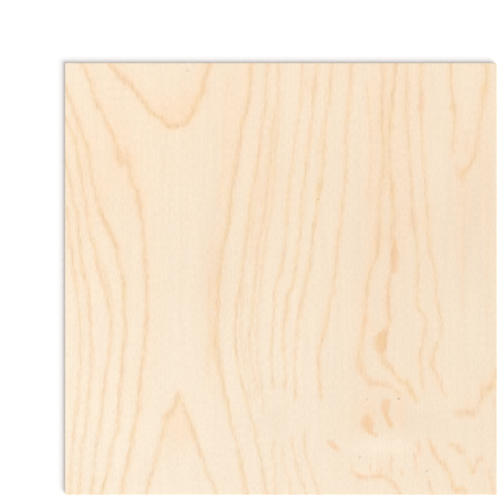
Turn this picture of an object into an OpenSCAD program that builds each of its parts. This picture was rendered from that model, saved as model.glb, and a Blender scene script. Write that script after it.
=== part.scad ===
// Square craft plywood sheet, lying flat with its show face up.
// Millimetres. X runs across the face grain, Y runs along it and Z is up.
// The origin is the centre of the underside.

/* [Sheet] */
// Length along the face grain
sheet_length = 304.8; // [100:0.1:1220]
// Width across the face grain
sheet_width = 304.8; // [100:0.1:1220]
// Thickness of the pressed and sanded sheet
sheet_thickness = 3; // [2:0.1:18]

/* [Edges] */
// Flat sanded off the sharp edges round both faces, measured along the face
arris = 0.25; // [0.1:0.05:0.6]
// Radius of the four corners in plan
corner_radius = 0.8; // [0.7:0.1:20]

/* [Hidden] */
$fn = 96;
veneer_colour = [0.969, 0.890, 0.788];
corner_x = sheet_width / 2 - corner_radius;
corner_y = sheet_length / 2 - corner_radius;

// Half of the sheet's upright section: flat faces, a square sawn edge at the given reach and an eased arris
// above and below it.
module half_section(reach) {
    polygon([
        [0, 0],
        [reach - arris, 0],
        [reach, arris],
        [reach, sheet_thickness - arris],
        [reach - arris, sheet_thickness],
        [0, sheet_thickness]
    ]);
}

// The whole section, which is the same on both sides of the centre line.
module full_section(reach) {
    half_section(reach);
    mirror([1, 0]) half_section(reach);
}

// A straight slab with that section across X, between the corners at its two ends.
module slab(reach, half_run) {
    rotate([90, 0, 0])
        translate([0, 0, -half_run])
            linear_extrude(height = 2 * half_run) full_section(reach);
}

// A corner of the outline, turned from the same section.
module corner() {
    rotate_extrude() half_section(corner_radius);
}

// One pressed and sawn sheet: the straight edges of two crossed slabs, joined by four turned corners.
module plywood_sheet() {
    color(veneer_colour)
        union() {
            slab(sheet_width / 2, corner_y);
            rotate([0, 0, 90]) slab(sheet_length / 2, corner_x);
            for (side_x = [-1, 1], side_y = [-1, 1])
                translate([side_x * corner_x, side_y * corner_y, 0]) corner();
        }
}

plywood_sheet();
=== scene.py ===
# Looks of a square craft plywood sheet that lies flat, seen straight from above.
import math
from typing import NamedTuple

import bpy
import numpy as np
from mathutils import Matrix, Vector


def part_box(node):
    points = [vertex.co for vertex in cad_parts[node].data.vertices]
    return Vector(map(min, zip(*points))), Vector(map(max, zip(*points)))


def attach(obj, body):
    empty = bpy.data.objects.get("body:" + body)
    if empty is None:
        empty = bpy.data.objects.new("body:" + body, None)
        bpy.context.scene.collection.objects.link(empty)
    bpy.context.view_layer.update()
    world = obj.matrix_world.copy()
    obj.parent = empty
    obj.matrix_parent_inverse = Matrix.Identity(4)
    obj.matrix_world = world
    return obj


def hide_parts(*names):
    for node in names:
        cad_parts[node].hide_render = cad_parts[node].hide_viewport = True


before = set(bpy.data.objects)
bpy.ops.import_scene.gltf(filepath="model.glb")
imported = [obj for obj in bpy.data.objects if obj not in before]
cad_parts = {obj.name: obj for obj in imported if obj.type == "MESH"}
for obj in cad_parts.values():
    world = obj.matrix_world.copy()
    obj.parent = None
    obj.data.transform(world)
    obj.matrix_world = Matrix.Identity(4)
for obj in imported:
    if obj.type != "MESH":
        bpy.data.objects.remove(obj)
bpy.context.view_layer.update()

# The sheet, in millimetres, with its outer size taken from the frame
MM = 0.001
NODE = "plywood_sheet"
sheet_low, sheet_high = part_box(NODE)
HALF_X = sheet_high.x / MM
HALF_Y = sheet_high.y / MM
THICKNESS = (sheet_high.z - sheet_low.z) / MM
ARRIS = 0.25
CORNER_RADIUS = 0.8
CORNER_STEPS = 8
FACE_PLY = 0.65
GLUE_DEPTH = 0.06
GLUE_HEIGHT = 0.1

# Squares of the mesh over each face, finer across the grain than along it
COLUMNS = 200
ROWS = 120

# The photo's frame and the sheet's place in it, in pixels
PHOTO_SIZE = 500
PHOTO_LEFT = 65.0
PHOTO_RIGHT = 496.9
PHOTO_TOP = 62.9
PHOTO_BOTTOM = 495.1

# The ruler that places on the show face are read off with: where it starts on the sheet, and how long
# its millimetre is there, across and along the grain
RULER_START = (0.215, 0.39)
RULER_STEP = (0.9971, 0.9986)

# Two layers of strokes, so that neighbours can overlap without cutting each other off
LINES = ("lines_odd", "lines_even")
ODD, EVEN = LINES
DROP_LAYER = "drops"

# Layer of the ground's tint and tone
GROUND_LAYER = "ground"


class Stroke(NamedTuple):
    """A growth line of the show face.

    Points are millimetres on the ruler, from the left and near edges. A warm shade fades out from the
    line over its soft reach on one side: 1 is the left hand of someone who walks along the points, and
    -1 the right hand.
    """

    layer: str
    soft_side: int
    soft_reach: float
    half_width: float
    depth: float
    points: list


class Drop(NamedTuple):
    """A dark drop of the show face, with a half width at each of its points."""

    depth: float
    points: list


class Swell(NamedTuple):
    """A stretch where the line that passes by is wider and darker, or the other way where below 0."""

    across: float
    along: float
    half_length: float
    wider: float
    deeper: float


class Patch(NamedTuple):
    """A soft patch of the show face that is deeper in colour, or paler where the amount is negative."""

    across: float
    along: float
    half_width: float
    half_length: float
    amount: float


class Speck(NamedTuple):
    """A dark speck of the show face, leaning to the right by its slant in degrees."""

    across: float
    along: float
    half_width: float
    half_length: float
    slant: float
    depth: float


STROKES = [
    # Long lines of the left side, from the edge inwards
    Stroke(EVEN, 1, 2.0, 0.8, 0.38, [
        (1, 208), (3, 186), (5, 168), (6, 157), (8, 146), (9, 133), (10.5, 118), (11, 100), (10.5, 85),
        (9, 67), (6.8, 52), (5.5, 38), (4, 20), (3, -8)]),
    Stroke(ODD, 1, 2.5, 0.9, 0.42, [
        (-2, 248), (2, 228), (4, 218), (5.5, 208), (8, 199), (9.5, 184), (11, 170), (12, 160), (14, 152),
        (16.5, 143), (17, 130), (18, 116), (18.5, 98), (17.5, 80), (16, 64), (14.5, 48), (12, 35),
        (11, 22), (9, -8)]),
    Stroke(EVEN, 1, 2.5, 0.9, 0.42, [
        (-2, 271), (2, 261), (5, 254.5), (7.3, 249), (8.5, 241), (10, 233), (11.5, 224), (12.7, 215),
        (15, 205), (17.5, 185), (20, 176), (22.5, 168), (23, 161), (26.5, 151), (29, 142), (30, 135),
        (32, 128), (32, 112), (31, 100), (29, 88), (27.5, 73), (25.5, 57), (24, 43), (22, 33),
        (20.7, 20), (17, -8)]),
    Stroke(ODD, 1, 3.5, 1.0, 0.48, [
        (-2, 294), (2.5, 280), (6, 272), (10, 261), (14, 250), (16, 243), (17.3, 233), (18.2, 224),
        (21.3, 214), (24, 202), (29.7, 188), (33.5, 180), (36.5, 173), (38, 164), (40, 156), (41.2, 145),
        (41.5, 130), (43, 119), (42, 108), (40.5, 95), (39.5, 82), (38.5, 70), (37.5, 56), (36, 44),
        (33.8, 36), (32, 31), (31, 22), (29, 12), (26, 2), (24, -8)]),
    Stroke(EVEN, 1, 6.5, 1.0, 0.5, [
        (8, 312), (13.5, 300), (18, 291), (20.5, 281), (23.5, 274), (26, 270), (29, 262), (33, 256.5),
        (34.7, 250), (37, 243), (38.5, 236), (42, 235), (45, 233), (46, 226), (48, 218), (51, 214),
        (52, 205), (55.3, 188), (55.8, 174), (56.8, 162), (57.5, 148), (57.6, 132), (57, 116), (56, 102),
        (54, 90), (53, 78), (52, 63), (49.5, 51), (47.5, 42), (46.5, 34), (44, 22), (41, 10), (39, -8)]),
    # Short strands beside those lines
    Stroke(ODD, 1, 1.0, 0.6, 0.28, [(25.5, 167), (27.2, 159), (31, 146), (33.6, 134), (34.5, 123)]),
    Stroke(ODD, 1, 1.5, 0.7, 0.36, [(42.6, 248), (44, 241), (45.2, 235), (46, 228)]),
    # The bend at the far edge and the peak at the near edge
    Stroke(ODD, 1, 6.5, 1.1, 0.56, [
        (28.5, 312), (35.4, 299), (41.4, 292.6), (45.4, 290), (50.3, 284), (54.3, 278.6), (58.3, 273.6),
        (61.3, 269.1), (65.3, 267.2), (69, 265.8), (71.7, 261), (76, 259.7), (81, 261.2), (85.2, 262.4),
        (88.5, 267.7), (91.5, 272.7), (94.2, 280), (97, 285), (98, 291), (100.5, 299), (105, 312)]),
    Stroke(ODD, -1, 4.5, 1.0, 0.46, [
        (55.8, -8), (59.3, 9), (62.6, 20), (64.6, 28), (67.6, 38), (70, 47), (71.6, 54.5), (75.3, 58.5),
        (77.8, 62), (79.6, 71.2), (81.8, 67), (83.8, 62.5), (86.6, 56), (89.6, 47), (92.2, 39),
        (95.6, 30), (98.6, 21), (101.4, 13), (105.2, 6), (109.2, -8)]),
    # The first two long lines of the middle
    Stroke(ODD, -1, 9.0, 1.1, 0.54, [
        (132, 312), (131, 293), (130, 281), (127.5, 269), (124.5, 256), (122.5, 243), (120.5, 229),
        (118, 216), (116.5, 204), (116, 196), (114.5, 185), (112, 176), (110.5, 166), (109, 156),
        (108, 144), (108, 130), (107, 119), (106.5, 108), (108, 97), (110, 87), (112, 75), (114.5, 65),
        (116.5, 56), (118, 47), (121, 39), (123, 29), (124.5, 20), (127, 10), (130, -8)]),
    Stroke(EVEN, -1, 2.5, 1.0, 0.42, [
        (143, 312), (142.5, 287), (141, 268), (138.5, 255), (137, 240), (134.5, 225), (131.5, 212),
        (130.3, 197), (128.7, 182), (126.5, 168), (125, 155), (123, 141), (121.5, 130), (120, 115),
        (120.5, 104), (122.5, 92), (125, 79), (128.5, 67), (131, 56), (134, 45), (135.5, 36), (138, 26),
        (140, 14), (144, -8)]),
    # Thin strands beside the lines of the middle
    Stroke(EVEN, -1, 1.5, 0.7, 0.18, [
        (115.5, 301), (114.1, 281), (112.8, 261), (112, 241), (110.4, 220), (107.5, 201)]),
    Stroke(EVEN, -1, 1.2, 0.6, 0.15, [
        (102.5, 159), (102, 145), (101.5, 130), (102.6, 115), (101.5, 98), (100.8, 84), (103, 70)]),
    Stroke(ODD, -1, 1.0, 0.6, 0.22, [
        (138, 230), (136.6, 220), (134.7, 206), (133.3, 194), (132.3, 182), (131.3, 170), (130.5, 159)]),
    Stroke(ODD, -1, 1.0, 0.6, 0.3, [
        (127.3, 152), (126.5, 144), (125.3, 131), (124, 116), (125.2, 101), (127.5, 89), (131, 70),
        (133, 60)]),
    Stroke(EVEN, -1, 1.0, 0.6, 0.28, [(183, 269), (182, 260), (179.8, 247), (178.6, 234)]),
    # The other long lines of the middle
    Stroke(ODD, -1, 2.0, 0.9, 0.4, [
        (151, 312), (150.5, 284), (148.5, 270), (146, 255), (145.5, 240), (143.5, 222), (141.5, 204),
        (139.5, 190), (137, 178), (135.5, 161), (134, 148), (132.5, 133), (130.5, 117), (130.5, 104),
        (132.5, 90), (135, 79), (137, 66)]),
    Stroke(EVEN, -1, 2.0, 0.8, 0.28, [
        (152.5, 286), (150, 256), (148, 235), (146.5, 212), (145, 198), (142.5, 183), (141, 169),
        (139, 156), (137.5, 140), (136, 124), (135, 110), (136.5, 92), (139, 77), (140.5, 54)]),
    Stroke(ODD, -1, 2.0, 0.9, 0.4, [
        (168.5, 312), (166.5, 280), (164, 260), (162, 243), (159.5, 225), (157.5, 205), (157, 190),
        (155, 174), (152.5, 159), (149, 146), (147.5, 134), (147, 120), (146, 105), (146.5, 90),
        (148, 70)]),
    Stroke(EVEN, 1, 2.5, 0.9, 0.42, [
        (180, 312), (176, 288), (175, 270), (172.5, 248), (170.5, 231), (168.5, 215), (167, 197),
        (165.5, 178), (163, 161), (161, 149), (157, 139), (156.5, 130), (154.5, 116), (154.5, 100),
        (155.5, 85), (155.5, 69)]),
    Stroke(ODD, -1, 3.0, 0.9, 0.42, [
        (189.5, 312), (187, 283), (184.5, 264), (183, 243), (181.5, 226), (179, 213), (177.5, 200),
        (175.5, 186), (174, 172), (171.5, 156), (169, 143), (166, 130), (164, 116), (163, 101),
        (162.5, 87), (163.5, 72), (163, 63)]),
    Stroke(EVEN, -1, 4.0, 1.0, 0.44, [
        (203.5, 312), (202, 294), (201, 280), (199, 260), (198.5, 244), (199.3, 230), (197, 214),
        (196, 200), (194, 186), (192, 170), (190.5, 154), (188.5, 138), (185.5, 126), (182.5, 113),
        (180, 102), (179.5, 90), (180.5, 74), (180.5, 63)]),
    # Long lines of the right side, which curl towards the near edge
    Stroke(ODD, -1, 5.0, 1.1, 0.46, [
        (225.5, 312), (224.3, 285), (224, 264), (225, 240), (223.5, 217), (222, 200), (222, 188),
        (220.5, 172), (217, 161), (214.5, 151), (212.5, 142), (212.5, 126), (210.5, 111), (208.3, 98),
        (209, 90), (211.5, 85), (214, 80), (218, 78.5), (224, 78.5), (229, 76.5), (234, 73), (240, 67)]),
    Stroke(EVEN, -1, 3.5, 1.1, 0.5, [
        (234.5, 312), (232.7, 291), (230.7, 273), (229.5, 256), (229.5, 230), (231.2, 212), (232.5, 195),
        (231.5, 183), (232.3, 170), (231, 160), (229.4, 152), (228.5, 142), (229, 130), (229.5, 122),
        (227, 112), (226, 103), (224.5, 97.5), (226, 93), (229, 90.5), (232, 87.5), (234, 84),
        (235.7, 80.5), (238.5, 79.5), (241.5, 79), (243.5, 75.5), (245.5, 71.5), (247.8, 67.5),
        (249, 64.5), (249.5, 61)]),
    Stroke(ODD, 1, 2.5, 0.9, 0.4, [
        (242.5, 312), (241.5, 278), (241.6, 264), (242.8, 250), (244.2, 232), (245.3, 213), (245.5, 199),
        (247, 186), (249, 177), (249.8, 163), (249.3, 148), (249.5, 133), (253, 128), (255, 120),
        (253, 108), (251, 97), (251.5, 90), (253, 82), (254.5, 67)]),
    Stroke(EVEN, 1, 2.5, 0.9, 0.4, [
        (252, 312), (251.5, 287), (252, 266), (253.5, 236), (255.5, 212), (256.5, 192), (258, 173),
        (261, 162), (262, 150), (262.5, 138), (265, 128), (266, 118), (264.5, 108), (261, 100),
        (260.2, 91), (263, 84), (265, 78), (267.5, 73), (271, 66)]),
    # Faint lines of the right side
    Stroke(EVEN, -1, 1.5, 0.7, 0.24, [
        (213.3, 294), (214.3, 277), (216, 259), (216.6, 240), (214.8, 221), (213.5, 203)]),
    Stroke(EVEN, 1, 1.5, 0.7, 0.13, [
        (281.5, 226), (282.4, 208), (282, 192), (281.2, 176), (281.8, 160), (281.5, 144), (281, 127)]),
    Stroke(EVEN, -1, 1.5, 0.7, 0.14, [
        (298.6, 252), (298.8, 231), (298.9, 206), (299.4, 188), (298.3, 164), (298.8, 144), (298.8, 115),
        (298.5, 98)]),
    # The loop at the right of the far edge, whose bottom is frayed
    Stroke(ODD, 1, 3.5, 1.0, 0.42, [
        (273, 312), (272.5, 292), (274.5, 276), (275.5, 266), (274.8, 250), (274.3, 236)]),
    Stroke(ODD, -1, 3.5, 1.1, 0.42, [
        (297.5, 312), (297.8, 292), (296.3, 282), (294.5, 271), (292, 254), (290.2, 242), (287.5, 234),
        (284, 229.5), (280, 225.5), (275.5, 223.5)]),
    # Short lines between the peak and the right corner, at the near edge
    Stroke(ODD, 1, 2.0, 0.7, 0.34, [(147, 42), (146.8, 30), (147.6, 20), (148.5, 10), (150, -8)]),
    Stroke(EVEN, 1, 2.0, 0.7, 0.28, [(153, 38), (154.8, 24), (157.5, 12), (161, -8)]),
    Stroke(ODD, 1, 2.0, 0.7, 0.3, [(160.3, 47), (161.5, 33), (163.5, 22), (166.5, 11), (173, -8)]),
    Stroke(EVEN, 1, 2.0, 0.7, 0.3, [(169, 49), (170, 30), (174.5, 15), (182, -8)]),
    # The bowl at the near edge, and the ticks that stand in it
    Stroke(ODD, -1, 2.5, 1.0, 0.5, [
        (202.3, 25), (202.8, 20), (203.8, 15.5), (206.5, 12.9), (210, 12.3), (214, 12.3), (218, 12.8),
        (222, 13), (227, 11.5), (230.5, 9.5), (233.5, 6), (236, 2), (240, -8)]),
    Stroke(EVEN, 1, 1.0, 0.6, 0.34, [(216, 25), (216, 18), (216.3, 11)]),
    Stroke(EVEN, 1, 1.0, 0.6, 0.48, [(223.6, 26), (223.5, 18), (223.6, 10)]),
    Stroke(EVEN, 1, 1.2, 0.7, 0.46, [(230.6, 31), (230.7, 22), (230.8, 11)]),
    # Frayed lines of the near right corner
    Stroke(EVEN, 1, 2.0, 0.9, 0.46, [(249, 42), (250.3, 35), (252.3, 25)]),
    Stroke(EVEN, -1, 1.2, 0.7, 0.54, [(247.2, 33), (248, 25), (248.5, 18), (248.4, 10)]),
    Stroke(ODD, 1, 1.0, 0.6, 0.36, [(236.5, 21), (238.4, 15), (239.6, 8)]),
    Stroke(EVEN, -1, 2.0, 0.9, 0.36, [(254.5, 15), (258, 7), (261.5, -8)]),
    Stroke(ODD, -1, 2.0, 0.8, 0.56, [
        (256.5, 42), (258.6, 35.5), (261.2, 29.5), (264, 24.5), (267.6, 21.3), (270.5, 17), (273, 11),
        (274, 5), (277, 2.7), (281, 3.7), (286, -3)]),
    Stroke(EVEN, 1, 2.5, 1.0, 0.36, [(268, 38.5), (273, 35.5), (277, 34), (280, 30.7), (287, 29)]),
    Stroke(ODD, -1, 4.0, 1.4, 0.34, [
        (309, 95), (304, 84), (301.5, 77), (298.8, 74.2), (296.8, 71.5), (295, 67.5), (292.8, 63),
        (290, 58.5), (287, 57), (284, 58), (280, 57), (277, 57.8), (271, 59)]),
    Stroke(EVEN, 1, 2.0, 0.9, 0.4, [
        (284.8, 29), (286.3, 20), (288, 15.5), (289.6, 19), (291.3, 24), (293, 26.5), (295, 25),
        (300, 22)]),
    Stroke(ODD, 1, 2.0, 0.9, 0.34, [(296, 23), (299, 16.5), (301.5, 9), (306, -8)]),
]

DROPS = [
    # The three broad drops
    Drop(1.0, [
        (225.7, 118, 0.6), (225.2, 115.5, 1.8), (224.2, 112.5, 3.0), (223.2, 109.5, 4.0),
        (222.7, 106, 4.3), (222.8, 103, 3.5), (223.3, 101, 2.2), (224.3, 98.5, 0.8)]),
    Drop(0.95, [
        (227.4, 69, 1.4), (227.2, 66, 2.8), (226.8, 63, 3.1), (226.5, 60, 2.6), (226.9, 57, 1.7),
        (227.8, 54, 1.6), (229.2, 51.5, 2.0), (230.2, 49, 1.9), (230.8, 45.5, 0.6)]),
    Drop(0.95, [
        (214.2, 57.5, 0.6), (214, 55, 2.0), (213.8, 51.5, 3.8), (214.3, 48, 3.6), (215.4, 45, 2.1),
        (217, 43.2, 1.2), (219.5, 42, 1.2), (221.5, 40, 0.5)]),
    # Long drops on a line of the right side and one of the left side
    Drop(0.78, [
        (232.4, 183.5, 0.6), (232.7, 176, 1.7), (232.9, 168, 2.6), (232.9, 161, 2.7), (232.8, 158, 2.2),
        (232.4, 155.5, 0.6)]),
    Drop(0.5, [(24.5, 202, 0.5), (28.3, 193, 1.3), (31, 187, 1.7), (34.5, 180, 1.3), (37.5, 172, 0.5)]),
    # The frayed bottom of the loop
    Drop(0.55, [(280, 225.5, 1.2), (283.5, 228.8, 1.9), (286.5, 231.8, 1.0)]),
    Drop(0.4, [(276.5, 237, 0.5), (276.8, 229, 0.9), (276.4, 220, 0.4)]),
    Drop(0.45, [(279.4, 233, 0.5), (280.2, 226, 1.3), (281.2, 217.5, 0.6)]),
    Drop(0.45, [(283.4, 229, 0.6), (283.8, 223, 1.0), (284, 216.5, 0.5)]),
    Drop(0.25, [(284, 262, 0.5), (284, 249, 0.9), (283.8, 236, 0.5)]),
    # Small drops
    Drop(0.75, [(184, 38.5, 0.8), (187.8, 36.2, 1.9), (191.5, 33, 1.7), (195.5, 30, 0.8)]),
    Drop(0.4, [(39.2, 237, 1.1), (39.3, 232, 0.8), (39.3, 228, 0.4)]),
    Drop(0.4, [(266.5, 21, 1.0), (267.5, 17, 0.9), (268, 14, 0.4)]),
    # Teeth of the line at the right edge
    Drop(0.32, [(288, 62.5, 0.8), (288, 57.5, 2.0), (288.7, 52.5, 0.8)]),
    Drop(0.35, [(284, 62.5, 0.6), (284, 58, 1.3), (283.8, 54, 0.5)]),
    Drop(0.35, [(279, 62, 0.6), (279, 58, 1.6), (280.2, 52.5, 0.6)]),
    Drop(0.48, [(294.6, 79.5, 0.8), (294.6, 73, 1.5), (294.4, 66, 0.6)]),
    Drop(0.35, [(300.8, 81, 0.6), (301, 75.5, 1.4), (300.8, 71, 0.5)]),
    Drop(0.3, [(303.4, 71, 0.6), (303.5, 65, 1.0), (303.4, 59, 0.4)]),
]

SWELLS = [
    # The left side
    Swell(4.5, 30, 24, 0.0, -0.08),
    Swell(10.5, 108, 12, 0.0, -0.1),
    Swell(12.5, 160, 14, 0.1, 0.1),
    Swell(14, 42, 9, 0.1, 0.1),
    Swell(21.5, 28, 11, 0.0, -0.14),
    Swell(31, 186, 12, 0.7, -0.12),
    Swell(17.5, 230, 7, 0.1, -0.06),
    Swell(37.5, 241, 6, 0.5, 0.05),
    Swell(42, 235, 4, 0.3, -0.1),
    Swell(51.5, 209, 6, 0.6, 0.15),
    # The bend and the peak
    Swell(42, 292, 5, 0.6, 0.1),
    Swell(76, 260.5, 4, 1.0, 0.15),
    Swell(94, 278, 8, 0.3, 0.1),
    Swell(97.5, 287, 4, 0.4, 0.15),
    Swell(73.5, 55, 4, 1.2, 0.14),
    Swell(92, 42, 5, 0.5, 0.15),
    Swell(96, 30, 4, 0.6, 0.2),
    # The middle
    Swell(108, 142, 16, -0.25, 0.2),
    Swell(168, 138, 14, 0.1, 0.1),
    Swell(107, 104, 10, 0.8, 0.05),
    Swell(121, 35, 24, -0.05, -0.14),
    Swell(176, 287, 8, 0.8, 0.14),
    Swell(180, 84, 20, -0.25, 0.05),
    Swell(158, 290, 26, 0.0, -0.1),
    Swell(179, 215.5, 5, 0.9, 0.22),
    Swell(137.5, 234, 7, 0.2, 0.14),
    Swell(130, 192, 6, 0.1, 0.14),
    # The right side
    Swell(221, 181, 12, 0.6, 0.15),
    Swell(212.5, 130, 12, -0.2, 0.15),
    Swell(228.5, 130, 12, -0.1, 0.12),
    Swell(265.5, 114, 11, 0.0, -0.12),
    Swell(208.5, 98, 7, 0.4, 0.1),
    Swell(230.5, 217, 7, 0.3, 0.15),
    Swell(227.5, 245, 8, 0.0, -0.1),
    Swell(242.8, 248, 6, 0.0, -0.08),
    Swell(233, 167, 12, 0.3, -0.1),
    Swell(228.5, 91.5, 4, 0.9, 0.27),
    Swell(233, 74, 6, -0.2, -0.14),
    Swell(244, 75, 5, 0.7, 0.18),
    Swell(210, 88, 4, 1.0, 0.1),
    Swell(219, 78, 6, 0.9, 0.1),
    Swell(261, 92, 6, 0.4, 0.1),
    Swell(251.5, 101, 8, 0.4, 0.1),
    Swell(246, 193, 9, 1.2, 0.15),
    Swell(252, 276, 7, 0.4, 0.15),
    Swell(275, 272, 4, 1.2, 0.25),
    Swell(297, 286, 6, 0.6, 0.16),
    Swell(225, 98, 4, 0.5, 0.1),
    # The near right corner
    Swell(260.5, 32, 4, 0.4, 0.18),
    Swell(267, 22, 4, 0.5, 0.06),
    Swell(272.5, 12, 6, -0.3, 0.0),
    Swell(279, 3, 5, 0.6, 0.1),
    Swell(287, 57.5, 4, 0.8, 0.0),
    Swell(278, 57.5, 4, 0.9, -0.06),
    Swell(301, 75, 4, 1.0, 0.2),
    Swell(293.3, 63, 5, -0.3, -0.14),
    Swell(202.8, 20, 4, -0.4, -0.22),
    Swell(209, 12.7, 4, 0.2, 0.15),
    Swell(215.5, 12.4, 2, -0.2, -0.3),
    Swell(221, 12.8, 4, 0.2, 0.15),
    Swell(280, 31, 3, 0.4, 0.2),
]

# Warm tint of the veneer all over, and patches of it between the lines
TINT_ALL_OVER = 0.03
TINTS = [
    Patch(80, 271, 13, 11, 0.22),
    Patch(80, 43, 12, 20, 0.34),
    Patch(219.5, 117, 4, 4, 0.24),
    Patch(41, 234, 8, 14, 0.2),
    Patch(27, 212, 4, 12, 0.16),
    Patch(25, 235, 60, 70, 0.18),
    Patch(80, 285, 45, 40, 0.1),
    Patch(140, 245, 30, 55, 0.05),
    Patch(215, 205, 6, 80, 0.08),
    Patch(239, 205, 5, 70, 0.08),
    Patch(227, 265, 10, 26, 0.06),
    Patch(78, 228, 14, 14, 0.06),
    Patch(213, 55, 13, 12, 0.28),
    Patch(216.5, 57, 3.5, 5, 0.2),
    Patch(236.5, 59, 4, 11, 0.34),
    Patch(280, 175, 4, 34, 0.1),
    Patch(279.5, 226, 5, 5, 0.28),
    Patch(286, 243, 5, 5, 0.12),
    Patch(299, 79, 7, 6, 0.16),
    Patch(287, 66, 7, 6, 0.18),
    Patch(60, 25, 80, 50, -0.12),
    Patch(108, 25, 13, 36, -0.24),
    Patch(290, 260, 60, 90, 0.1),
    Patch(190, 298, 55, 30, 0.09),
    Patch(140, 98, 38, 38, -0.17),
    Patch(80, 160, 22, 50, -0.05),
    Patch(168, 75, 30, 22, -0.05),
    Patch(168, 165, 16, 16, -0.04),
    Patch(258, 228, 14, 16, -0.06),
    Patch(292, 115, 14, 25, -0.06),
    Patch(137, 228, 13, 24, 0.09),
    Patch(130, 15, 50, 25, -0.06),
]

# Depth of tone of the veneer: its level at the left, how much deeper it is at the right, and patches
TONE_AT_LEFT = 0.22
TONE_TO_RIGHT = 0.34
TONES = [
    Patch(200, 185, 110, 85, 0.08),
    Patch(80, 160, 22, 50, 0.06),
    Patch(60, 150, 35, 60, 0.04),
    Patch(209, 76, 22, 36, 0.08),
    Patch(20, 62, 45, 45, -0.05),
    Patch(150, -2, 200, 8, -0.07),
    Patch(106, 161, 14, 36, 0.2),
    Patch(112, 225, 8, 38, 0.07),
    Patch(108.5, 62, 4, 18, 0.09),
    Patch(102, 110, 8, 25, 0.06),
    Patch(214, 178, 8, 30, 0.09),
    Patch(137, 200, 14, 45, 0.05),
    Patch(45, 198, 18, 22, 0.05),
    Patch(79, 45, 9, 14, 0.06),
    Patch(148, 51, 18, 14, 0.12),
    Patch(188, 36, 12, 16, 0.06),
    Patch(243, 52, 28, 11, 0.12),
    Patch(182, 288, 32, 28, -0.07),
    Patch(147, 140, 8, 50, -0.08),
    Patch(164, 120, 5, 60, -0.06),
    Patch(229, 190, 13, 90, 0.08),
    Patch(287, 185, 15, 40, 0.1),
    Patch(288, 208, 14, 14, 0.04),
    Patch(280, 103, 8, 35, -0.05),
    Patch(262, 236, 9, 20, -0.04),
    Patch(218, 57, 20, 14, 0.05),
    Patch(222, 34, 22, 6, -0.22),
    Patch(217, 18, 15, 4, -0.16),
    Patch(290, 300, 50, 45, -0.12),
    Patch(290, 10, 60, 40, -0.05),
    Patch(295, 126, 20, 24, -0.04),
    Patch(258, 228, 14, 16, -0.05),
]

SPECKS = [
    Speck(236, 67.6, 1.1, 0.9, 0, 0.62),
    Speck(208.4, 26.4, 0.7, 1.6, 50, 0.35),
    Speck(255.8, 16.5, 0.7, 1.7, 60, 0.4),
    Speck(178.9, 208.6, 1.1, 0.6, 0, 0.42),
    Speck(86.5, 299.5, 1.2, 1.3, 0, 0.24),
    Speck(213.5, 67, 0.6, 1.2, 0, 0.35),
]

# The shade beside a line: its reach on the sharp side, and its strength as a share of the line's depth
SHARP_REACH = 2.8
SHADE = 0.6

# The ends of lines and drops: the way over which they fade in, and a line's share of its width there
END_FADE = 7.0
DROP_FADE = 2.0
END_WIDTH = 0.4

# Half widths from the middle up to which a line or drop keeps its depth, and where it has lost it, with
# the least half width that they are measured in
FULL_WITHIN = 2.2
GONE_BEYOND = 4.2
LEAST_HALF_WIDTH = 1.0

# Pieces of a smooth path between two of its points, and an offset that is outside every line
SPAN_SAMPLES = 6
FAR_AWAY = 99.0


def smooth_path(points):
    """A smooth path through given points, as a Catmull-Rom spline."""
    knots = np.array(points, float)
    before = np.vstack([2 * knots[0] - knots[1], knots[:-1]])[:-1]
    start = knots[:-1]
    end = knots[1:]
    after = np.vstack([knots[2:], 2 * knots[-1] - knots[-2]])
    path = []
    for t in np.arange(SPAN_SAMPLES) / SPAN_SAMPLES:
        path.append(0.5 * (
            2 * start
            + (end - before) * t
            + (2 * before - 5 * start + 4 * end - after) * t ** 2
            + (3 * start - before - 3 * end + after) * t ** 3
        ))
    spans = np.stack(path, axis=1).reshape(-1, knots.shape[1])
    return np.vstack([spans, knots[-1]])


def ways_along(path):
    """The way from a path's start to each of its points."""
    steps = np.diff(path[:, :2], axis=0)
    return np.concatenate([[0.0], np.cumsum(np.hypot(steps[:, 0], steps[:, 1]))])


def offsets_from(path, places):
    """Signed distance of each place from a path, positive on its left hand, and the way along it."""
    nearest = np.full(len(places), np.inf)
    signed = np.zeros(len(places))
    way = np.zeros(len(places))
    for start, end, passed in zip(path[:-1, :2], path[1:, :2], ways_along(path)):
        step = end - start
        length = np.hypot(*step)
        to_place = places - start
        share = np.clip(to_place @ step / length ** 2, 0, 1)
        gap = to_place - share[:, None] * step
        distance = np.hypot(gap[:, 0], gap[:, 1])
        left = step[0] * to_place[:, 1] - step[1] * to_place[:, 0]
        closer = distance < nearest
        nearest[closer] = distance[closer]
        signed[closer] = np.where(left > 0, distance, -distance)[closer]
        way[closer] = passed + share[closer] * length
    return signed, way


def smooth_step(low, high, value):
    """Rises smoothly from 0 at low to 1 at high."""
    t = np.clip((value - low) / (high - low), 0, 1)
    return t * t * (3 - 2 * t)


def bell(across, along, half_width, half_length, places):
    """A soft patch that is 1 in its middle."""
    away_x = (places[:, 0] - across) / half_width
    away_y = (places[:, 1] - along) / half_length
    return np.exp(-(away_x ** 2 + away_y ** 2))


def patched(patches, places):
    """The sum of soft patches at each place."""
    return sum(p.amount * bell(p.across, p.along, p.half_width, p.half_length, places) for p in patches)


def lay(layer, signed, depth, width):
    """Writes a line or drop into its layer wherever it is the nearest one."""
    offset = np.abs(signed)
    near = 1 - smooth_step(FULL_WITHIN, GONE_BEYOND, offset / np.maximum(width, LEAST_HALF_WIDTH))
    closer = offset / width < np.abs(layer[:, 0]) / layer[:, 2]
    layer[closer] = np.column_stack([signed, depth * near, width])[closer]


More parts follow.
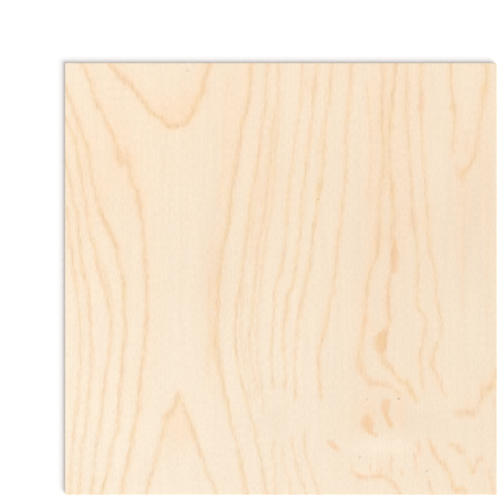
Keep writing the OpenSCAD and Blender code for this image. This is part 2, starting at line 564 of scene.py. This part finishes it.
def face_figure(sheet_places):
    """The lines and drops of each layer, and the tint and tone, at each place on the show face."""
    places = (sheet_places - RULER_START) / RULER_STEP
    bells = [bell(s.across, s.along, s.half_length, s.half_length, places) for s in SWELLS]
    wider = sum(swell.wider * share for swell, share in zip(SWELLS, bells))
    deeper = sum(swell.deeper * share for swell, share in zip(SWELLS, bells))
    layers = {name: np.tile([FAR_AWAY, 0.0, 1.0], (len(places), 1)) for name in (*LINES, DROP_LAYER)}
    tint = TINT_ALL_OVER + patched(TINTS, places)
    for stroke in STROKES:
        path = smooth_path(stroke.points)
        signed, way = offsets_from(path, places)
        signed = signed * stroke.soft_side
        ends = smooth_step(0, END_FADE, way) * smooth_step(0, END_FADE, ways_along(path)[-1] - way)
        depth = (stroke.depth + deeper) * ends
        width = (stroke.half_width + wider) * (END_WIDTH + (1 - END_WIDTH) * ends)
        lay(layers[stroke.layer], signed, depth, width)
        reach = np.where(signed > 0, stroke.soft_reach, SHARP_REACH)
        tint = tint + SHADE * depth * np.exp(-np.abs(signed) / reach)
    for drop in DROPS:
        path = smooth_path(drop.points)
        ways = ways_along(path)
        signed, way = offsets_from(path, places)
        ends = smooth_step(0, DROP_FADE, way) * smooth_step(0, DROP_FADE, ways[-1] - way)
        lay(layers[DROP_LAYER], np.abs(signed), drop.depth * ends, np.interp(way, ways, path[:, 2]))
    tone = TONE_AT_LEFT + TONE_TO_RIGHT * places[:, 0] / (2 * HALF_X) + patched(TONES, places)
    # A layer holds three numbers for each place, and the ground needs two
    spare = np.zeros(len(places))
    layers[GROUND_LAYER] = np.column_stack([np.clip(tint, 0, 1), np.clip(tone, 0, 1), spare])
    return layers


def edge_profile():
    """Rings down the sawn edge: the reach beyond the flat of the faces and the height of each."""
    sawn = CORNER_RADIUS
    flat = CORNER_RADIUS - ARRIS
    rings = [(flat, THICKNESS), (sawn, THICKNESS - ARRIS)]
    for glue in (THICKNESS - FACE_PLY, FACE_PLY):
        rings.append((sawn, glue + GLUE_HEIGHT / 2))
        rings.append((sawn - GLUE_DEPTH, glue))
        rings.append((sawn, glue - GLUE_HEIGHT / 2))
    return rings + [(sawn, ARRIS), (flat, 0.0)]


class Sheet:
    """The mesh of the sheet: a grid over each face, joined by rings round the sawn edge."""

    # Materials of the mesh, in the order of their slots
    SHOW, BACK, ACROSS, ALONG = range(4)

    def __init__(self):
        self.flat = np.array([HALF_X - CORNER_RADIUS, HALF_Y - CORNER_RADIUS])
        self.profile = edge_profile()
        self.points = []
        self.faces = []
        self.slots = []
        self.places = []
        self.add_grid_points(THICKNESS)
        self.stations = self.walk_round()
        self.add_ring_points()
        self.back_start = len(self.points)
        self.add_grid_points(0.0)
        self.add_grid_faces(0, upward=True)
        self.add_edge_faces()
        self.add_grid_faces(self.back_start, upward=False)

    def add_grid_points(self, height):
        for y in np.linspace(-self.flat[1], self.flat[1], ROWS + 1):
            for x in np.linspace(-self.flat[0], self.flat[0], COLUMNS + 1):
                self.points.append((x, y, height))

    def walk_round(self):
        """Stations anticlockwise from the near left corner: a rim point, its way out and its side."""
        row = COLUMNS + 1
        near = list(range(row))
        right = [j * row + COLUMNS for j in range(ROWS + 1)]
        far = [ROWS * row + i for i in reversed(range(row))]
        left = [j * row for j in reversed(range(ROWS + 1))]
        stations = []
        for side, rim in enumerate((near, right, far, left)):
            outward = -90 + 90 * side
            stations += [(point, outward, side) for point in rim]
            for step in range(1, CORNER_STEPS):
                turn = 90 * step / CORNER_STEPS
                nearest_side = side if turn < 45 else (side + 1) % 4
                stations.append((rim[-1], outward + turn, nearest_side))
        return stations

    def add_ring_points(self):
        self.ring_start = len(self.points)
        for reach, height in self.profile:
            for point, outward, _ in self.stations:
                x, y, _ = self.points[point]
                angle = math.radians(outward)
                self.points.append((x + reach * math.cos(angle), y + reach * math.sin(angle), height))

    def ring(self, number):
        """Vertices of one ring, where the first and last are the rims of the two grids."""
        if number == 0:
            return [point for point, _, _ in self.stations]
        if number == len(self.profile) + 1:
            return [self.back_start + point for point, _, _ in self.stations]
        start = self.ring_start + (number - 1) * len(self.stations)
        return list(range(start, start + len(self.stations)))

    def add_face(self, corners, slot, places):
        self.faces.append(corners)
        self.slots.append(slot)
        self.places += places

    def add_grid_faces(self, start, upward):
        row = COLUMNS + 1
        for j in range(ROWS):
            for i in range(COLUMNS):
                low = start + j * row + i
                corners = [low, low + 1, low + row + 1, low + row]
                if not upward:
                    corners.reverse()
                self.add_veneer_face(corners, upward)

    def add_veneer_face(self, corners, upward):
        places = [self.map_face(self.points[c], upward) for c in corners]
        self.add_face(corners, self.SHOW if upward else self.BACK, places)

    def add_edge_faces(self):
        count = len(self.stations)
        last = len(self.profile)
        # The rim of each face and its eased arris, which the veneer's colour runs over
        upper_bands = (0, 1)
        lower_bands = (last - 1, last)
        for band in range(last + 1):
            upper = self.ring(band)
            lower = self.ring(band + 1)
            for k in range(count):
                after = (k + 1) % count
                corners = list(dict.fromkeys([upper[k], lower[k], lower[after], upper[after]]))
                if len(corners) < 3:
                    continue
                if band in (*upper_bands, *lower_bands):
                    self.add_veneer_face(corners, upward=band in upper_bands)
                    continue
                side = self.stations[k][2]
                places = [self.map_edge(c, side) for c in corners]
                self.add_face(corners, self.ACROSS if side % 2 == 0 else self.ALONG, places)

    # Layout of the map that colours are baked to: the show face on top, then the back, then the edges
    MAP_RIM = 0.004
    BACK_SHARE = 0.2
    EDGE_SHARE = 0.015

    def map_face(self, point, upward):
        rim = self.MAP_RIM
        edges = 4 * (self.EDGE_SHARE + rim) + rim
        back_top = edges + self.BACK_SHARE
        low, high = (back_top + rim, 1 - rim) if upward else (edges, back_top)
        u = rim + (1 - 2 * rim) * (point[0] + HALF_X) / (2 * HALF_X)
        v = low + (high - low) * (point[1] + HALF_Y) / (2 * HALF_Y)
        return (u, v)

    def map_edge(self, corner, side):
        rim = self.MAP_RIM
        ring = (corner - self.ring_start) // len(self.stations)
        x, y, _ = self.points[corner]
        along = (x / HALF_X, y / HALF_Y)[side % 2]
        drop = ring / (len(self.profile) - 1)
        u = rim + (1 - 2 * rim) * (along + 1) / 2
        v = rim + side * (self.EDGE_SHARE + rim) + self.EDGE_SHARE * (1 - drop)
        return (u, v)


def srgb(red, green, blue):
    """A colour as the photo shows it, from 0 to 255, as linear values."""
    shown = np.array([red, green, blue]) / 255
    linear = np.where(shown <= 0.04045, shown / 12.92, ((shown + 0.055) / 1.055) ** 2.4)
    return (*map(float, linear), 1.0)


# Colours of the wood
LIGHT = srgb(254, 241, 221)
DEEP = srgb(236, 213, 187)
PEACH = srgb(252, 216, 177)
GOLD = srgb(247, 213, 155)
ROSE = srgb(250, 206, 166)
AMBER = srgb(244, 201, 161)
OCHRE = srgb(240, 205, 155)
DUST = srgb(190, 164, 138)
LONG_GRAIN = srgb(236, 208, 170)
END_GRAIN = srgb(214, 180, 138)
GLUE = srgb(176, 138, 98)

# The sanded surface: its gloss, the ranges of its roughness, how strongly its relief shows, and the
# heights of that relief in millimetres
SPECULAR = 0.25
FACE_ROUGHNESS = (0.62, 0.76)
EDGE_ROUGHNESS = (0.7, 0.85)
RELIEF_STRENGTH = 0.5
FACE_RELIEF = 0.02
EDGE_RELIEF = 0.06


class Shader:
    """Nodes of one material or of the world, added in reading order."""

    def __init__(self, owner):
        owner.use_nodes = True
        self.owner = owner
        self.tree = owner.node_tree
        self.tree.nodes.clear()

    def feed(self, socket, value):
        if isinstance(value, bpy.types.NodeSocket):
            self.tree.links.new(value, socket)
        else:
            socket.default_value = value

    def node(self, kind, inputs=None, **settings):
        made = self.tree.nodes.new("ShaderNode" + kind)
        for name, value in settings.items():
            setattr(made, name, value)
        for name, value in (inputs or {}).items():
            self.feed(made.inputs[name], value)
        return made

    def math(self, operation, *values):
        return self.node("Math", dict(enumerate(values)), operation=operation).outputs[0]

    # Sockets of a Mix node: its factor and its two colours, and the colour that comes out
    MIX_INPUTS = (0, 6, 7)
    MIX_RESULT = 2

    def mix(self, factor, first, second):
        """A blend of two colours."""
        inputs = dict(zip(self.MIX_INPUTS, (factor, first, second)))
        return self.node("Mix", inputs, data_type="RGBA").outputs[self.MIX_RESULT]

    def spread(self, value, low, high, to_low=0.0, to_high=1.0, smooth=False):
        """Value moved from one range to another, and kept within it."""
        inputs = {"Value": value, "From Min": low, "From Max": high, "To Min": to_low, "To Max": to_high}
        kind = "SMOOTHSTEP" if smooth else "LINEAR"
        return self.node("MapRange", inputs, interpolation_type=kind).outputs["Result"]

    def swing(self, noise, reach):
        """Noise about 0, with this reach from end to end."""
        return self.math("MULTIPLY_ADD", noise, reach, -reach / 2)

    def shade(self, colour, change):
        """A colour made lighter or darker, by a share of its brightness."""
        level = self.math("ADD", change, 1.0)
        return self.node("VectorMath", {0: colour, "Scale": level}, operation="SCALE").outputs["Vector"]

    def ramp(self, factor, stops):
        """A grey value that follows stops of place and brightness."""
        made = self.node("ValToRGB", {"Fac": factor})
        made.color_ramp.interpolation = "EASE"
        elements = made.color_ramp.elements
        while len(elements) < len(stops):
            elements.new(0.5)
        for element, (place, value) in zip(elements, stops):
            element.position = place
            element.color = (value, value, value, 1)
        return made.outputs["Color"]

    def shape(self, widths, stops, depth):
        """Strength across a line or drop, for a place given in its half widths."""
        span = SHAPE_TO - SHAPE_FROM
        ramp_stops = [((place - SHAPE_FROM) / span, value) for place, value in stops]
        core = self.ramp(self.spread(widths, SHAPE_FROM, SHAPE_TO), ramp_stops)
        return self.math("MULTIPLY", core, depth)

    def place(self):
        return self.node("TexCoord").outputs["Object"]

    def noise(self, across, along, detail=2.0, shift=0.0, upright=None):
        """Noise whose grains have these sizes in millimetres across X, along Y and, if given, up Z."""
        sizes = (across, along, across if upright is None else upright)
        scale = [1 / (size * MM) for size in sizes]
        inputs = {"Vector": self.place(), "Location": (shift, shift, shift), "Scale": scale}
        placed = self.node("Mapping", inputs).outputs["Vector"]
        return self.node("TexNoise", {"Vector": placed, "Scale": 1.0, "Detail": detail}).outputs["Fac"]

    def attribute(self, name):
        """The three numbers that the mesh holds under this name."""
        vector = self.node("Attribute", attribute_name=name).outputs["Vector"]
        return self.node("SeparateXYZ", {"Vector": vector}).outputs

    def surface(self, colour, roughness, height, relief):
        """Ends the material in a sanded, matt surface."""
        inputs = {"Strength": RELIEF_STRENGTH, "Distance": relief * MM, "Height": height}
        bump = self.node("Bump", inputs)
        inputs = {"Base Color": colour, "Roughness": roughness, "Specular IOR Level": SPECULAR}
        inputs["Normal"] = bump.outputs["Normal"]
        shader = self.node("BsdfPrincipled", inputs)
        self.node("OutputMaterial", {"Surface": shader.outputs["BSDF"]})
        return self.owner


# Strength across a line, its dark strands and a drop, in half widths from the middle, with a line's
# soft side last
SHAPE_FROM = -3.5
SHAPE_TO = 3.5
LINE_SHAPE = [(-3.2, 0.0), (-1.2, 0.65), (0.0, 0.9), (1.2, 0.65), (3.4, 0.0)]
STRAND_SHAPE = [(-1.6, 0.0), (-0.4, 1.0), (0.2, 1.0), (1.5, 0.0)]
DROP_SHAPE = [(0.0, 1.0), (0.55, 0.9), (1.0, 0.52), (1.6, 0.0)]

# Ranges of a noise: what nearly all of it lies in, and what most of it lies in
ALL_NOISE = (0.2, 0.8)
MOST_NOISE = (0.3, 0.7)

# How faint and how full patches make a line and a drop
LINE_PATCHES = (0.5, 1.2)
DROP_PATCHES = (0.75, 1.05)

# Dark strands: the depth of line at which they are full, how dark they are then, the range of noise that
# breaks them up, and what is left of them in the gaps
STRANDS_FULL = 0.45
STRANDS_DARKNESS = 0.095
STRANDS_NOISE = (0.3, 0.65)
STRANDS_LEFT = 0.15

# Ranges of noise over which a line turns from gold to rose, and a drop from amber to ochre
LINE_HUES = (0.36, 0.68)
DROP_HUES = (0.4, 0.65)

# Shares of a speck's half sizes up to which it is full, and at which it ends
SPECK_CORE = 0.4
SPECK_RIM = 1.3

# How far fibres fray a line's sides, how far it wanders, and how far its warm band sways about its dark
# strands, in millimetres from end to end
FRAY = 4.6
WANDER = 2.0
SWAY = 6.0

# How far short and long fibres swing the brightness from end to end
SHORT_FIBRES = 0.17
LONG_FIBRES = 0.065

# How far broad streaks swing the tone, and soft blotches the warm tint, from end to end
BROAD_STREAKS = 0.2
BLOTCHES = 0.25

# The back: the spacing of its growth lines in millimetres, how far they sway and fray in spacings, their
# strength from one line to the next, and the range of its tone
BACK_SPACING = 14
BACK_SWAY = 5.0
BACK_FRAY = 0.3
BACK_LINE = [(0.0, 0.0), (0.55, 0.06), (0.86, 0.42), (0.93, 0.5), (1.0, 0.0)]
BACK_TONE = (0.25, 0.6)

# The range of noise over which end grain turns from dark pores to pale wood
PORES_NOISE = (0.35, 0.65)


def line_strengths(shader, shift, band_shift, patchy):
    """Strength of the growth lines' warm bands and of their dark strands."""
    strength = shader.spread(patchy, *MOST_NOISE, *LINE_PATCHES)
    warm = 0.0
    dark = 0.0
    for layer in LINES:
        offset, depth, width = shader.attribute(layer)
        depth = shader.math("MULTIPLY", depth, strength)
        from_band = shader.math("DIVIDE", shader.math("ADD", offset, band_shift), width)
        from_strands = shader.math("DIVIDE", shader.math("ADD", offset, shift), width)
        warm = shader.math("MAXIMUM", warm, shader.shape(from_band, LINE_SHAPE, depth))
        full = shader.spread(depth, 0.0, STRANDS_FULL)
        dark = shader.math("MAXIMUM", dark, shader.shape(from_strands, STRAND_SHAPE, full))
    strands = shader.noise(1.2, 11, detail=1, shift=23)
    left = shader.spread(strands, *STRANDS_NOISE, STRANDS_LEFT, 1.0)
    return warm, shader.math("MULTIPLY", dark, left)


def drop_strength(shader, fray, patchy):
    """Strength of the dark drops."""
    offset, depth, width = shader.attribute(DROP_LAYER)
    from_drop = shader.math("DIVIDE", shader.math("ADD", offset, shader.swing(fray, FRAY)), width)
    strength = shader.spread(patchy, *MOST_NOISE, *DROP_PATCHES)
    return shader.shape(from_drop, DROP_SHAPE, shader.math("MULTIPLY", depth, strength))


def speck_strength(shader, speck):
    """Strength of one dark speck."""
    x = RULER_START[0] + speck.across * RULER_STEP[0] - HALF_X
    y = RULER_START[1] + speck.along * RULER_STEP[1] - HALF_Y
    inputs = {
        "Vector": shader.place(),
        "Location": (x * MM, y * MM, THICKNESS * MM),
        "Rotation": (0, 0, -math.radians(speck.slant)),
        "Scale": (speck.half_width * MM, speck.half_length * MM, 1.0),
    }
    from_centre = shader.node("Mapping", inputs, vector_type="TEXTURE").outputs["Vector"]
    away = shader.node("VectorMath", {0: from_centre}, operation="LENGTH").outputs["Value"]
    return shader.spread(away, SPECK_CORE, SPECK_RIM, speck.depth, 0.0, smooth=True)


def fibre_swing(shader, short, long):
    """How far short and long fibres make a face lighter or darker."""
    return shader.math("ADD", shader.swing(short, SHORT_FIBRES), shader.swing(long, LONG_FIBRES))


def sanded_face(shader, colour, short):
    """Ends the material of a face, on which the short fibres stand out."""
    roughness = shader.spread(short, *ALL_NOISE, *FACE_ROUGHNESS)
    return shader.surface(colour, roughness, short, FACE_RELIEF)


def show_veneer():
    """The sanded show face: pale veneer with growth lines, drops, fibres and specks."""
    shader = Shader(bpy.data.materials.new("show_veneer"))
    short = shader.noise(1.5, 3.4, detail=3)
    long = shader.noise(1.8, 40, detail=1, shift=5)
    broad = shader.noise(6, 140, shift=7)
    fray = shader.noise(1.0, 7, shift=11)
    wander = shader.noise(7, 16, shift=17)
    patchy = shader.noise(2.5, 14, detail=1, shift=53)
    sway = shader.noise(4, 6, detail=1, shift=61)
    hue = shader.noise(6, 24, detail=1, shift=47)
    blotches = shader.noise(8, 26, shift=59)
    shift = shader.math("ADD", shader.swing(fray, FRAY), shader.swing(wander, WANDER))
    band_shift = shader.math("ADD", shift, shader.swing(sway, SWAY))
    warm, dark = line_strengths(shader, shift, band_shift, patchy)
    drop = drop_strength(shader, fray, patchy)
    tint, tone, _ = shader.attribute(GROUND_LAYER)
    streaked = shader.math("ADD", tone, shader.swing(broad, BROAD_STREAKS))
    blotched = shader.math("ADD", tint, shader.swing(blotches, BLOTCHES))
    colour = shader.mix(streaked, LIGHT, DEEP)
    colour = shader.mix(blotched, colour, PEACH)
    colour = shader.mix(warm, colour, shader.mix(shader.spread(hue, *LINE_HUES), GOLD, ROSE))
    colour = shader.mix(drop, colour, shader.mix(shader.spread(sway, *DROP_HUES), AMBER, OCHRE))
    fibres = fibre_swing(shader, short, long)
    colour = shader.shade(colour, shader.math("MULTIPLY_ADD", dark, -STRANDS_DARKNESS, fibres))
    for speck in SPECKS:
        colour = shader.mix(speck_strength(shader, speck), colour, DUST)
    return sanded_face(shader, colour, short)


def back_veneer():
    """The back face: the same veneer with plain growth lines that bend slowly."""
    shader = Shader(bpy.data.materials.new("back_veneer"))
    short = shader.noise(1.5, 3.4, detail=3, shift=31)
    long = shader.noise(1.5, 70, detail=1, shift=33)
    sway = shader.noise(60, 240, shift=37)
    fray = shader.noise(1.0, 9, shift=41)
    x = shader.node("SeparateXYZ", {"Vector": shader.place()}).outputs["X"]
    spacings = shader.math("MULTIPLY", x, 1 / (BACK_SPACING * MM))
    swayed = shader.math("ADD", spacings, shader.math("MULTIPLY", sway, BACK_SWAY))
    frayed = shader.math("ADD", swayed, shader.math("MULTIPLY", fray, BACK_FRAY))
    line = shader.ramp(shader.math("FRACT", frayed), BACK_LINE)
    tone = shader.spread(shader.noise(40, 160, shift=43), *MOST_NOISE, *BACK_TONE)
    colour = shader.mix(line, shader.mix(tone, LIGHT, DEEP), GOLD)
    colour = shader.shade(colour, fibre_swing(shader, short, long))
    return sanded_face(shader, colour, short)


def sawn_edge(name, across):
    """A sawn edge. Across the face grain the face plies show end grain, and along it the core does."""
    shader = Shader(bpy.data.materials.new(name))
    grain = shader.noise(30, 0.5, upright=0.12) if across else shader.noise(0.5, 30, upright=0.12)
    pores = shader.noise(0.35, 0.35, detail=3, shift=3)
    z = shader.node("SeparateXYZ", {"Vector": shader.place()}).outputs["Z"]
    height = shader.math("DIVIDE", z, MM)
    from_middle = shader.math("ABSOLUTE", shader.math("SUBTRACT", height, THICKNESS / 2))
    core_half = THICKNESS / 2 - FACE_PLY
    in_face = shader.math("GREATER_THAN", from_middle, core_half)
    at_glue = shader.math("COMPARE", from_middle, core_half, GLUE_HEIGHT / 2)
    long_colour = shader.mix(shader.spread(grain, *MOST_NOISE), LONG_GRAIN, LIGHT)
    end_colour = shader.mix(shader.spread(pores, *PORES_NOISE), END_GRAIN, LONG_GRAIN)
    plies = (long_colour, end_colour) if across else (end_colour, long_colour)
    colour = shader.mix(in_face, *plies)
    colour = shader.mix(at_glue, colour, GLUE)
    roughness = shader.spread(pores, *MOST_NOISE, *EDGE_ROUGHNESS)
    return shader.surface(colour, roughness, pores, EDGE_RELIEF)


def build_sheet():
    """The sheet as one piece, in place of its plain solid."""
    sheet = Sheet()
    mesh = bpy.data.meshes.new("plywood_panel")
    points = np.array(sheet.points)
    mesh.from_pydata((points * MM).tolist(), [], sheet.faces)
    for material in (
        show_veneer(),
        back_veneer(),
        sawn_edge("edge_across_grain", across=True),
        sawn_edge("edge_along_grain", across=False),
    ):
        mesh.materials.append(material)
    mesh.polygons.foreach_set("material_index", sheet.slots)
    bake_map = mesh.uv_layers.new(name="OFBake")
    bake_map.uv.foreach_set("vector", np.array(sheet.places, np.float32).ravel())
    figure = face_figure(points[:, :2] + (HALF_X, HALF_Y))
    for name, values in figure.items():
        attribute = mesh.attributes.new(name, "FLOAT_VECTOR", "POINT")
        attribute.data.foreach_set("vector", values.astype(np.float32).ravel())
    mesh.validate()
    panel = bpy.data.objects.new("plywood_panel", mesh)
    bpy.context.scene.collection.objects.link(panel)
    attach(panel, "root")
    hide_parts(NODE)


# Light: an even white surround and a soft key from the near right, which add up to a plain level
SURROUND_LEVEL = 0.5
KEY_LEVEL = 0.5
KEY_AZIMUTH = -45
KEY_ELEVATION = 36
KEY_ANGLE = 45

# Floor: its size in metres, the gap under the sheet in millimetres, its white, and the glow that lifts it
# to the white of the surround
FLOOR_SIZE = 8.0
FLOOR_GAP = 0.02
FLOOR_WHITE = 0.9
FLOOR_LIFT = 0.12


def background_rays(shader):
    """1 for rays that see the background straight, in a gloss or through glass, and 0 for the others."""
    path = shader.node("LightPath").outputs
    seen = shader.math("MAXIMUM", path["Is Camera Ray"], path["Is Glossy Ray"])
    return shader.math("MAXIMUM", seen, path["Is Transmission Ray"])


def build_floor():
    """A white floor that keeps the sheet's shadow."""
    shader = Shader(bpy.data.materials.new("white_floor"))
    matt = shader.node("BsdfDiffuse", {"Color": (FLOOR_WHITE, FLOOR_WHITE, FLOOR_WHITE, 1)})
    lift = shader.math("MULTIPLY", background_rays(shader), FLOOR_LIFT)
    glow = shader.node("Emission", {"Strength": lift})
    both = shader.node("AddShader", {0: matt.outputs["BSDF"], 1: glow.outputs["Emission"]})
    shader.node("OutputMaterial", {"Surface": both.outputs["Shader"]})
    half = FLOOR_SIZE / 2
    low = sheet_low.z - FLOOR_GAP * MM
    mesh = bpy.data.meshes.new("floor")
    corners = [(-half, -half, low), (half, -half, low), (half, half, low), (-half, half, low)]
    mesh.from_pydata(corners, [], [(0, 1, 2, 3)])
    mesh.materials.append(shader.owner)
    floor = bpy.data.objects.new("floor", mesh)
    bpy.context.scene.collection.objects.link(floor)


def build_light():
    """The white surround and the key."""
    world = bpy.data.worlds.new("surround")
    bpy.context.scene.world = world
    shader = Shader(world)
    level = shader.spread(background_rays(shader), 0.0, 1.0, SURROUND_LEVEL, 1.0)
    background = shader.node("Background", {"Color": (1, 1, 1, 1), "Strength": level})
    shader.node("OutputWorld", {"Surface": background.outputs["Background"]})
    lamp = bpy.data.lights.new("key", "SUN")
    lamp.energy = KEY_LEVEL * math.pi / math.sin(math.radians(KEY_ELEVATION))
    lamp.angle = math.radians(KEY_ANGLE)
    key = bpy.data.objects.new("key", lamp)
    bpy.context.scene.collection.objects.link(key)
    azimuth = math.radians(KEY_AZIMUTH)
    elevation = math.radians(KEY_ELEVATION)
    towards = Vector((
        math.cos(azimuth) * math.cos(elevation),
        math.sin(azimuth) * math.cos(elevation),
        math.sin(elevation),
    ))
    key.rotation_euler = towards.to_track_quat("Z", "Y").to_euler()


# The camera's focal length and the width of its sensor, in millimetres
FOCAL_LENGTH = 85
SENSOR_WIDTH = 36


def build_camera():
    """A long lens straight above, where the sheet fills the same pixels as in the photo."""
    lens = bpy.data.cameras.new("camera")
    lens.lens = FOCAL_LENGTH
    lens.sensor_width = SENSOR_WIDTH
    mm_per_pixel_x = 2 * HALF_X / (PHOTO_RIGHT - PHOTO_LEFT)
    mm_per_pixel_y = 2 * HALF_Y / (PHOTO_BOTTOM - PHOTO_TOP)
    middle_x = (PHOTO_SIZE / 2 - PHOTO_LEFT) * mm_per_pixel_x - HALF_X
    middle_y = (PHOTO_BOTTOM - PHOTO_SIZE / 2) * mm_per_pixel_y - HALF_Y
    seen_width = PHOTO_SIZE * (mm_per_pixel_x + mm_per_pixel_y) / 2
    distance = seen_width * FOCAL_LENGTH / SENSOR_WIDTH
    camera = bpy.data.objects.new("camera", lens)
    camera.location = Vector((middle_x, middle_y, THICKNESS + distance)) * MM
    bpy.context.scene.collection.objects.link(camera)
    bpy.context.scene.camera = camera


bpy.context.scene.view_settings.view_transform = "Standard"
build_sheet()
build_floor()
build_light()
build_camera()
